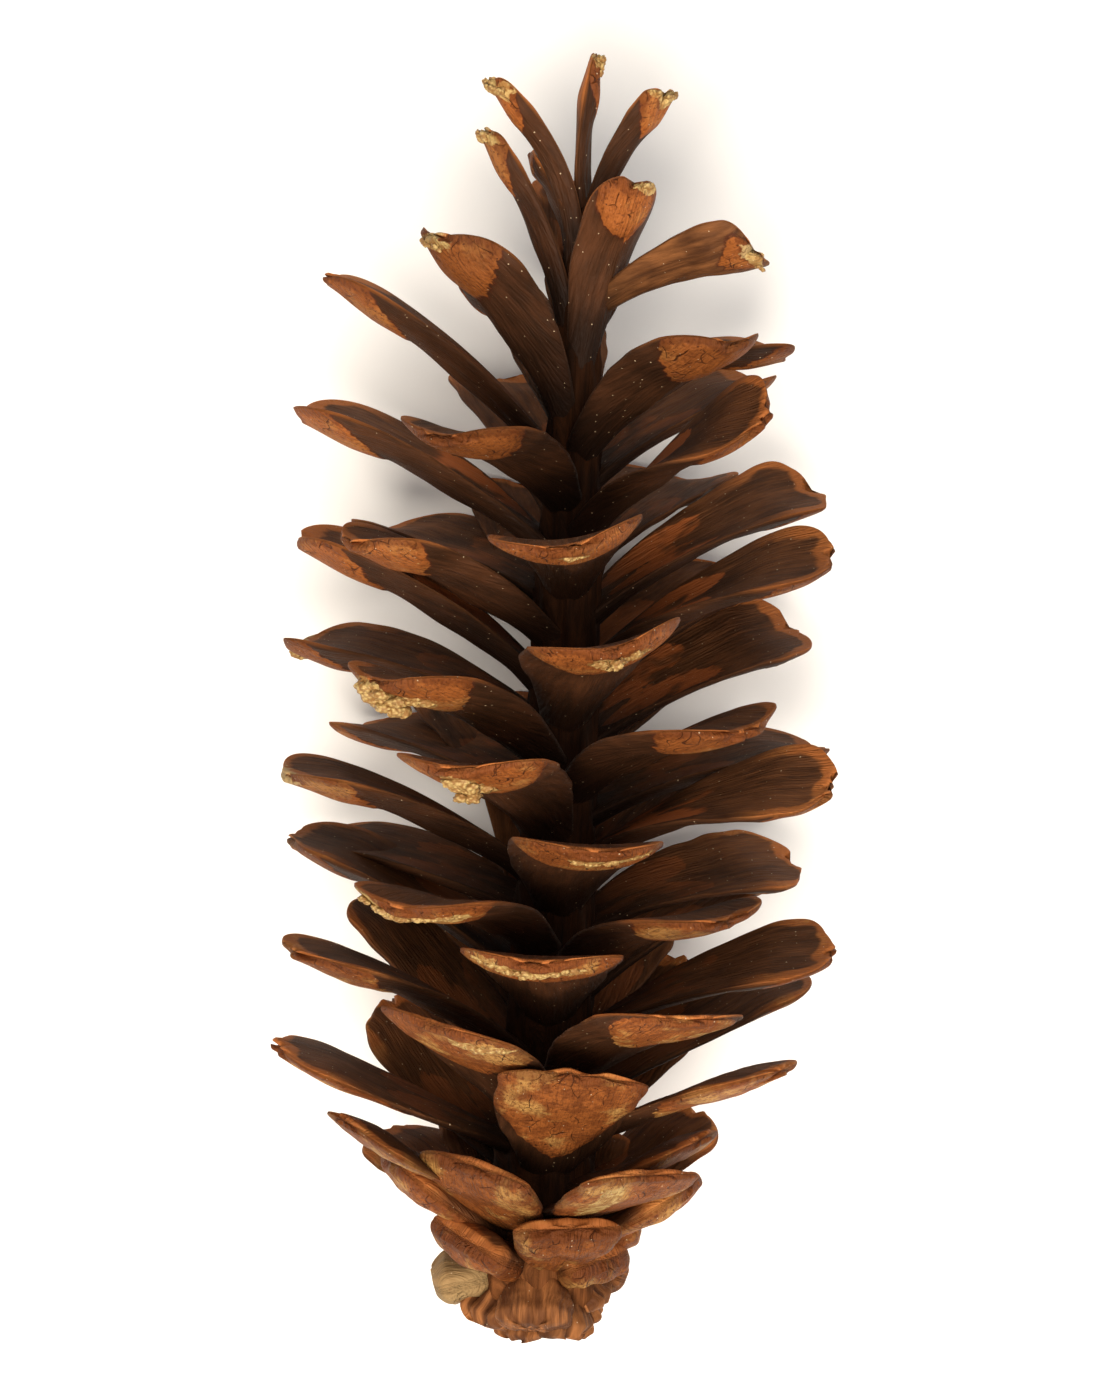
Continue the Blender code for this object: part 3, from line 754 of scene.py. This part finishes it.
def resin_stain(tree, colour, place, outer_face, jag, fine_jag):
    """Lays thin clotted resin over a colour round the beads of a patch."""
    grainy = ragged(tree, "crust", jag, 0.5, fine_jag, 1.2)
    crust = math(tree, "MULTIPLY", ramp(tree, grainy, 0.34, 0.5), outer_face)
    clots = ramp(tree, noise(tree, place, 900.0, 3.0), 0.4, 0.62)
    resin = blend_colour(tree, clots, RESIN_DEEP, RESIN_PALE)
    return blend_colour(tree, math(tree, "MULTIPLY", crust, 0.9), colour, resin)


def scale_material():
    """Skin of a scale: inner and outer faces, wing prints partly painted light, painted shade at the root
    and in the knobs' folds, weathered tip, bright rim, resin and specks.
    """
    made, tree, shader = new_material("scale_skin")
    place = node(tree, "ShaderNodeTexCoord").outputs["Object"]
    strand = attribute(tree, "strand", "Vector")
    share = attribute(tree, "share")
    knob = attribute(tree, "knob")
    inner_face = ramp(tree, attribute(tree, "inner"), -0.12, 0.12)
    outer_face = math(tree, "SUBTRACT", 1.0, inner_face)
    jag = math(tree, "SUBTRACT", noise(tree, stretched(tree, strand, 0.9, 0.3, 1), 1.0, 3.0), 0.5)
    fine_jag = math(tree, "SUBTRACT", noise(tree, place, 1200.0, 2.0), 0.5)
    from_rim = math(tree, "ADD", attribute(tree, "rim"), math(tree, "MULTIPLY", jag, 3.0))
    skin = put_group(tree, TIP_SKIN, {"Place": place, "Strand": strand, "Pitted": ramp(
        tree, from_rim, 2.6, 0.4), "Weather": attribute(tree, "weather")})
    wood = scale_wood(tree, strand, inner_face, knob)
    # Wing prints, and on the strongly printed scales painted pools of warm light on the inner faces
    prints_and_light = wing_prints_and_light(tree, strand, inner_face, jag, fine_jag)
    colour = blend_colour(tree, prints_and_light, wood.outputs["Colour"], WING_PRINT_AND_LIGHT)
    # Painted shade: each scale darkens from the middle of its length to the core's near-black at its root,
    # deep among the scales
    painted_root_shade = math(tree, "MULTIPLY", ramp(tree, share, 0.52, 0.10), 0.8)
    colour = blend_colour(tree, painted_root_shade, colour, CORE_DARK_AND_SHADE)
    colour = weathered_tip(tree, colour, skin.outputs["Colour"], outer_face, jag, fine_jag)
    bright = blend_colour(tree, 0.6, skin.outputs["Colour"], RIM_ORANGE)
    colour = blend_colour(tree, bright_rim(tree, place, share, inner_face, jag), colour, bright)
    from_end = math(tree, "ADD", attribute(tree, "worn"), math(tree, "MULTIPLY", fine_jag, 1.6))
    worn = math(tree, "MULTIPLY", ramp(tree, from_end, 0.45, 0.7), 0.85)
    colour = blend_colour(tree, worn, colour, WORN_TIP)
    colour = resin_stain(tree, colour, place, outer_face, jag, fine_jag)
    # Painted shade: the knobs darken in the hollows of their folds
    painted_fold_shade = math(tree, "MULTIPLY", ramp(tree, attribute(tree, "fold"), -0.2, -0.9), 0.75)
    colour = blend_colour(tree, knob, colour, blend_colour(tree, painted_fold_shade, wood.outputs["Colour"], KNOB_DARK))
    shade = math(tree, "MULTIPLY", ramp(tree, attribute(tree, "tone"), -0.6, 1.6), 0.8)
    toned = node(tree, "ShaderNodeHueSaturation", {"Color": colour, "Value": math(tree, "ADD", shade, 0.62)})
    specks = put_group(tree, SPECKS, {"Place": place, "Scale": 1500.0, "Amount": 0.42})
    speckled = math(tree, "MULTIPLY", specks.outputs["Mask"], 0.75)
    colour = blend_colour(tree, speckled, toned.outputs["Color"], SPECK)
    tree.links.new(colour, shader.inputs["Base Color"])
    rough = math(tree, "ADD", math(tree, "MULTIPLY", outer_face, -0.08), 0.68)
    tree.links.new(rough, shader.inputs["Roughness"])
    shader.inputs["Specular IOR Level"].default_value = 0.11
    height = math(tree, "MULTIPLY", skin.outputs["Height"], attribute(tree, "tip_share"))
    height = math(tree, "ADD", height, wood.outputs["Height"])
    bump = node(tree, "ShaderNodeBump", {"Strength": 0.8, "Distance": 0.0004, "Height": height})
    tree.links.new(bump.outputs["Normal"], shader.inputs["Normal"])
    return made


SPECKS = specks_group()
TIP_SKIN = tip_skin_group()
SCALE_SKIN = scale_material()


def make_scales(name, numbers):
    """One piece with the scales of these numbers."""
    made = [scale_surface(number) for number in numbers]
    fields = {key: [skin[key] for _, skin in made] for key in made[0][1]}
    piece = closed_tubes(name, [points for points, _ in made], fields)
    piece.data.materials.append(SCALE_SKIN)
    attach(piece, "root")
    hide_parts("cone")
    return piece


make_scales("base_scales", range(0, 30))
make_scales("lower_scales", range(30, 55))
make_scales("upper_scales", range(55, 80))
make_scales("apex_scales", range(80, COUNT))


# The resin: crusts, beads and short runs of pitch that dried pale yellow on some tips and crumbled.
# Each patch is a cluster of rough beads along a short line on a scale's outer face, sunk a little into it.
# The beads run into one another, and those near a drip's middle hang further towards the cone's base.
BEAD_RINGS = 12
BEAD_SIDES = 16
BEAD_HOLE = 0.12
BEAD_FLATNESS = 0.62
BEAD_ROUGHNESS = 0.42
BEAD_RIPPLE = 3.6
BEAD_SIZES = (0.55, 1.15)
PLATE_HALF = 0.75
PLATE_THINNER = 0.6
DRIP_AT = 0.4
DRIP_WIDTH = 0.28
DRIP_WAY = np.array([0.0, 1.0, 0.3])
SLANT = (0.31, 0.52, 0.79)


def bead(centre, normal, radius, seed):
    """A rough lump: a ball flattened along its normal, its radius varied by ripples of the direction."""
    polar = np.linspace(np.pi - BEAD_HOLE, BEAD_HOLE, BEAD_RINGS)[:, None]
    turn = (np.arange(BEAD_SIDES) * 2 * np.pi / BEAD_SIDES)[None, :]
    ball = [np.sin(polar) * np.cos(turn), np.sin(polar) * np.sin(turn), np.cos(polar) + 0 * turn]
    rough = 1 + BEAD_ROUGHNESS * ripple(seed, *[way * BEAD_RIPPLE for way in ball])
    side = np.cross(normal, SLANT)
    side = side / np.linalg.norm(side)
    bead_axes = np.stack([side, np.cross(normal, side), normal * BEAD_FLATNESS])
    return centre + (np.stack(ball, axis=-1) * rough[..., None] * radius) @ bead_axes


def resin_patch(number, share_a, across_a, share_b, across_b, count, size, spread, hang):
    """Beads of one patch, scattered along the line from a to b on the outer face of a scale."""
    chance = np.random.default_rng(number * 3 + 1)
    way = chance.uniform(0, 1, count)
    scatter = spread * 0.5
    share = share_a + (share_b - share_a) * way + chance.normal(0, scatter, count) / length_of(number)
    share = np.clip(share, 0.5, 0.995)
    half = half_width(number, share)
    aside = chance.normal(0, scatter, count) / np.maximum(half, 1)
    across = np.clip(across_a + (across_b - across_a) * way + aside, -0.95, 0.95)
    middle, sideways, upward = middle_line(number, share)
    lift = curve(CURL, number) * across ** 2 * half - PLATE_HALF * (1 - PLATE_THINNER * across ** 2)
    centres = middle + sideways * (across * half)[:, None] + upward * lift[:, None]
    sagging = hang * np.exp(-((way - DRIP_AT) / DRIP_WIDTH) ** 2) * chance.uniform(0, 1, count)
    centres = centres - DRIP_WAY * sagging[:, None]
    sizes = size * chance.uniform(*BEAD_SIZES, count)
    return [bead(centres[k], -upward[k], sizes[k], number * 50 + k) for k in range(count)]


def resin_material():
    """Dry crumbling resin: pale yellow grains with deeper amber between them."""
    made, tree, shader = new_material("resin_crust")
    place = node(tree, "ShaderNodeTexCoord").outputs["Object"]
    grains = node(tree, "ShaderNodeTexVoronoi", {"Vector": place, "Scale": 2200.0})
    clouds = noise(tree, place, 500.0, 4.0)
    share = math(tree, "ADD", math(tree, "MULTIPLY", grains.outputs["Distance"], 0.9), clouds)
    colour = blend_colour(tree, ramp(tree, share, 0.62, 1.15), RESIN_PALE, RESIN_DEEP)
    tree.links.new(colour, shader.inputs["Base Color"])
    shader.inputs["Roughness"].default_value = 0.55
    shader.inputs["Specular IOR Level"].default_value = 0.3
    height = math(tree, "SUBTRACT", 1.0, grains.outputs["Distance"])
    bump = node(tree, "ShaderNodeBump", {"Strength": 0.8, "Distance": 0.0002, "Height": height})
    tree.links.new(bump.outputs["Normal"], shader.inputs["Normal"])
    return made


beads = [ball for patch in RESIN for ball in resin_patch(*patch)]
resin = closed_tubes("resin", beads, {})
resin.data.materials.append(resin_material())
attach(resin, "root")
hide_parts("cone")


# The stage: a plain pale floor, a large soft light over the cone, a fill and a camera above it.
# The camera looks down on the lying cone, leaned a little towards the apex, with the axis nearly upright.
# The camera's place and lens are in millimetres, and the floor's and the lights' places in metres.
CAMERA_DISTANCE = 400.0
CAMERA_LEAN = 9.0
CAMERA_TURN = 2.3
LOOK_AT = (-1.38, 65.0, 0.0)
LENS = 100.5
SENSOR = 36.0
FLOOR_COLOUR = (0.93, 0.93, 0.93, 1)
FLOOR_HALF = 1.5
FLOOR_LEVEL = -0.0001
AIM = (0, 0, 0.03)
SURROUNDINGS = 0.16


def make_camera():
    """Stands the camera over the cone's uppermost side, in the cone's frame, and lays it down with it."""
    lean, turn = np.radians(CAMERA_LEAN), np.radians(CAMERA_TURN)
    back = np.array([0.0, np.sin(lean), np.cos(lean)])
    right = np.array([1.0, 0.0, 0.0])
    up = np.cross(back, right)
    turned_right = right * np.cos(turn) + up * np.sin(turn)
    turned_up = up * np.cos(turn) - right * np.sin(turn)
    place = (np.array(LOOK_AT) + back * CAMERA_DISTANCE) @ LYING.T + np.array(CENTRE)
    axes = LYING @ np.stack([turned_right, turned_up, back], axis=1)
    data = bpy.data.cameras.new("view")
    data.sensor_width = SENSOR
    data.lens = LENS
    camera = bpy.data.objects.new("view", data)
    bpy.context.scene.collection.objects.link(camera)
    camera.matrix_world = Matrix.Translation(Vector(place) * 0.001) @ Matrix(axes.tolist()).to_4x4()
    bpy.context.scene.camera = camera


def make_light(name, place, size, power, colour):
    """Square soft light at a place, turned to face the middle of the cone."""
    data = bpy.data.lights.new(name, "AREA")
    data.shape = "SQUARE"
    data.size = size
    data.energy = power
    data.color = colour
    light = bpy.data.objects.new(name, data)
    bpy.context.scene.collection.objects.link(light)
    light.location = place
    light.rotation_mode = "QUATERNION"
    light.rotation_quaternion = (Vector(place) - Vector(AIM)).to_track_quat("Z", "Y")


def make_floor():
    """Plain pale floor that the cone lies on."""
    mesh = bpy.data.meshes.new("floor")
    sides = [(-1, -1), (1, -1), (1, 1), (-1, 1)]
    corners = [(x * FLOOR_HALF, y * FLOOR_HALF, FLOOR_LEVEL) for x, y in sides]
    mesh.from_pydata(corners, [], [(0, 1, 2, 3)])
    floor = bpy.data.objects.new("floor", mesh)
    bpy.context.scene.collection.objects.link(floor)
    made, _, shader = new_material("pale_floor")
    shader.inputs["Base Color"].default_value = FLOOR_COLOUR
    shader.inputs["Roughness"].default_value = 0.9
    mesh.materials.append(made)


make_camera()
make_floor()
make_light("key", (-0.10, -0.20, 0.80), 0.5, 10.4, (1.0, 0.90, 0.77))
make_light("fill", (0.25, 0.15, 0.80), 1.0, 5.6, (1.0, 0.95, 0.89))
world = bpy.data.worlds.new("studio")
world.use_nodes = True
world.node_tree.nodes["Background"].inputs["Color"].default_value = (1, 1, 1, 1)
world.node_tree.nodes["Background"].inputs["Strength"].default_value = SURROUNDINGS
bpy.context.scene.world = world
bpy.context.scene.view_settings.view_transform = "Standard"
